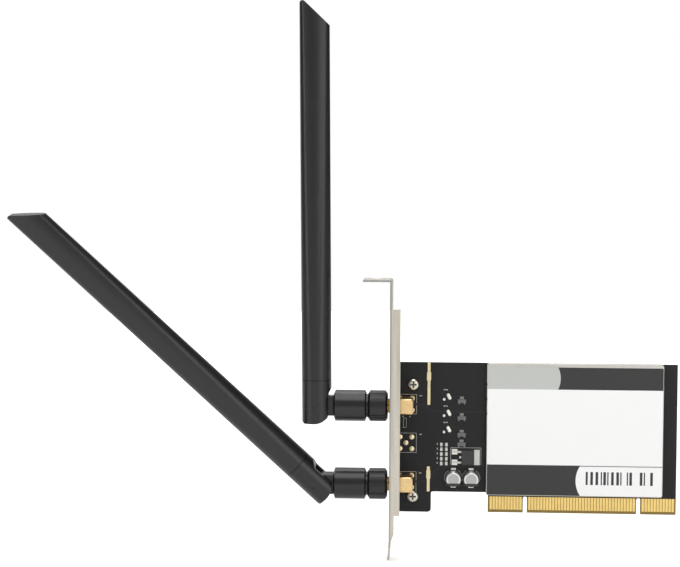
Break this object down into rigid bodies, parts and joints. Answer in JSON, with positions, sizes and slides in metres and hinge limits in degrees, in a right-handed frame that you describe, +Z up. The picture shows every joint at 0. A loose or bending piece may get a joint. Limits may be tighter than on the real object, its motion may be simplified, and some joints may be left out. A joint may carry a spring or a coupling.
{
  "type": "wireless network card",
  "caption": "Black circuit card with gold edge contacts, a folded slot bracket, a labelled shield can, and antennas that screw onto coaxial jacks, swivel and tilt.",
  "frame": {"origin": "middle of the finger tab's lower edge, on the circuit board's mid-plane", "axes": "+X along the card away from the bracket, +Y out of the solder side, +Z up out of the slot"},
  "size_m": [0.2818, 0.0317, 0.2373],
  "materials": {
    "solder_mask": "black solder mask on glass-fibre board",
    "gold_plating": "gold plating, bright",
    "solder": "tinned copper, dull bright",
    "bracket_steel": "nickel-plated steel, brushed lengthwise",
    "screw_steel": "nickel-plated steel, turned",
    "tinned_steel": "tinned sheet steel, satin",
    "label": "printed paper label, satin",
    "chip_plastic": "moulded black epoxy, matt",
    "chip_ceramic": "fired ceramic, matt",
    "capacitor_can": "drawn aluminium, satin",
    "jack_gold": "gold-plated brass, turned",
    "dielectric": "white dielectric plastic",
    "nut_plastic": "moulded black plastic, satin",
    "sleeve_plastic": "moulded black plastic, satin",
    "blade_plastic": "moulded black plastic, fine matt grain",
    "cable_jacket": "black cable jacket",
    "copper": "bare copper"
  },
  "bodies": {
    "card": {"circuit_board": "solder_mask", "edge_contacts": "gold_plating", "ground_strips": "gold_plating", "empty_jack_pads": "solder", "jack_pads": "solder", "component_pads": "solder", "bracket": "bracket_steel", "bracket_screws": "screw_steel", "shield_frame": "tinned_steel", "shield_cover": "tinned_steel", "label": "label", "baseband_chip": "chip_plastic", "radio_chip": "chip_plastic", "amplifier_chips": "chip_plastic", "crystal_can": "tinned_steel", "inner_capacitors": "chip_ceramic", "regulator_body": "chip_plastic", "regulator_frame": "solder", "capacitor_cans": "capacitor_can", "capacitor_bases": "chip_plastic", "capacitor_leads": "solder", "resistor_row": "chip_plastic", "transistors": "chip_plastic", "upper_jack_body": "jack_gold", "upper_jack_insulator": "dielectric", "upper_jack_pin": "jack_gold", "lower_jack_body": "jack_gold", "lower_jack_insulator": "dielectric", "lower_jack_pin": "jack_gold"},
    "upper_plug": {"upper_plug_body": "jack_gold", "upper_plug_socket": "jack_gold", "upper_plug_insulator": "dielectric"},
    "upper_nut": {"upper_nut_insert": "jack_gold", "upper_coupling_nut": "nut_plastic"},
    "upper_sleeve": {"upper_swivel_sleeve": "sleeve_plastic", "upper_sleeve_cable": "cable_jacket"},
    "upper_whip": {"upper_hinge_pin": "screw_steel", "upper_hinge_fork": "sleeve_plastic", "upper_blade": "blade_plastic", "upper_blade_cable": "cable_jacket", "upper_radiator_tube": "copper", "upper_radiator_wire": "copper"},
    "lower_plug": {"lower_plug_body": "jack_gold", "lower_plug_socket": "jack_gold", "lower_plug_insulator": "dielectric"},
    "lower_nut": {"lower_nut_insert": "jack_gold", "lower_coupling_nut": "nut_plastic"},
    "lower_sleeve": {"lower_swivel_sleeve": "sleeve_plastic", "lower_sleeve_cable": "cable_jacket"},
    "lower_whip": {"lower_hinge_pin": "screw_steel", "lower_hinge_fork": "sleeve_plastic", "lower_blade": "blade_plastic", "lower_blade_cable": "cable_jacket", "lower_radiator_tube": "copper", "lower_radiator_wire": "copper"}
  },
  "joints": [
    {"name": "upper_plug_travel", "type": "slide", "parent": "card", "child": "upper_plug", "axis": [-1, 0, 0], "range_m": [0, 0.0035]},
    {"name": "upper_nut_turn", "type": "hinge", "parent": "upper_plug", "child": "upper_nut", "pos_m": [-0.08221, -0.00719, 0.0463], "axis": [-1, 0, 0], "range_deg": [0, 1800]},
    {"name": "upper_swivel", "type": "hinge", "parent": "upper_plug", "child": "upper_sleeve", "pos_m": [-0.11431, -0.00719, 0.0463], "axis": [1, 0, 0], "range_deg": [-135, 135]},
    {"name": "upper_tilt", "type": "hinge", "parent": "upper_sleeve", "child": "upper_whip", "pos_m": [-0.11431, -0.00719, 0.0463], "axis": [0, -1, 0], "range_deg": [0, 55]},
    {"name": "lower_plug_travel", "type": "slide", "parent": "card", "child": "lower_plug", "axis": [-1, 0, 0], "range_m": [0, 0.0035]},
    {"name": "lower_nut_turn", "type": "hinge", "parent": "lower_plug", "child": "lower_nut", "pos_m": [-0.08221, -0.00719, 0.0129], "axis": [-1, 0, 0], "range_deg": [0, 1800]},
    {"name": "lower_swivel", "type": "hinge", "parent": "lower_plug", "child": "lower_sleeve", "pos_m": [-0.11431, -0.00719, 0.0129], "axis": [1, 0, 0], "range_deg": [-180, 180]},
    {"name": "lower_tilt", "type": "hinge", "parent": "lower_sleeve", "child": "lower_whip", "pos_m": [-0.11431, -0.00719, 0.0129], "axis": [0, -0.9877, -0.1564], "range_deg": [-18, 43.5]}
  ],
  "couplings": [
    {"joint": "upper_nut_turn", "follows": "upper_plug_travel", "rad_per_m": 8904.7},
    {"joint": "lower_nut_turn", "follows": "lower_plug_travel", "rad_per_m": 8904.7}
  ]
}
